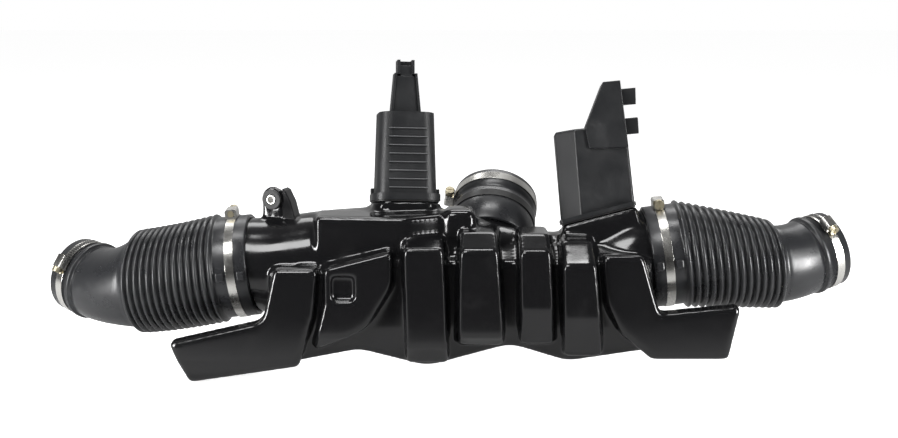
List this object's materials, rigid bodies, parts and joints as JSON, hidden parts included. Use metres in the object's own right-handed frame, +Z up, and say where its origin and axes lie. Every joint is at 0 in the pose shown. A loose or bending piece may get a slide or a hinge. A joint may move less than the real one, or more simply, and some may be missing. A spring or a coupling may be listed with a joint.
{
  "type": "air intake resonator",
  "caption": "Moulded engine air intake duct with a lobed front resonator chamber, tuning chambers on top, ribbed rubber inlet hoses and a clamped throttle hose.",
  "frame": {"origin": "centre of the throttle hose's mouth", "axes": "+X to the right along the duct, +Y to the rear, +Z up"},
  "size_m": [0.8556, 0.1893, 0.3232],
  "materials": {
    "gloss_black_plastic": "gloss blow-moulded black",
    "matte_black_plastic": "fine-grained moulded black",
    "hose_rubber": "satin moulded rubber",
    "soft_rubber": "matte soft rubber",
    "stainless_strip": "rolled stainless strip",
    "zinc_screw": "yellow zinc plate",
    "steel_sleeve": "plain zinc steel"
  },
  "bodies": {
    "root": {"resonator_body": "gloss_black_plastic", "left_bellows_hose": "hose_rubber", "right_bellows_hose": "hose_rubber", "throttle_hose": "hose_rubber", "left_duct_clamp_band": "stainless_strip", "left_duct_clamp_housing": "stainless_strip", "left_duct_clamp_screw": "zinc_screw", "left_inlet_clamp_band": "stainless_strip", "left_inlet_clamp_housing": "stainless_strip", "left_inlet_clamp_screw": "zinc_screw", "right_duct_clamp_band": "stainless_strip", "right_duct_clamp_housing": "stainless_strip", "right_duct_clamp_screw": "zinc_screw", "right_inlet_clamp_band": "stainless_strip", "right_inlet_clamp_housing": "stainless_strip", "right_inlet_clamp_screw": "zinc_screw", "throttle_clamp_band": "stainless_strip", "throttle_clamp_housing": "stainless_strip", "throttle_clamp_screw": "zinc_screw", "spigot_clamp_band": "stainless_strip", "spigot_clamp_housing": "stainless_strip", "spigot_clamp_screw": "zinc_screw", "mount_grommet": "soft_rubber", "grommet_sleeve": "steel_sleeve", "left_chamber_seal": "soft_rubber", "left_tuning_chamber": "matte_black_plastic", "right_chamber_seal": "soft_rubber", "right_tuning_chamber": "matte_black_plastic"}
  },
  "joints": []
}
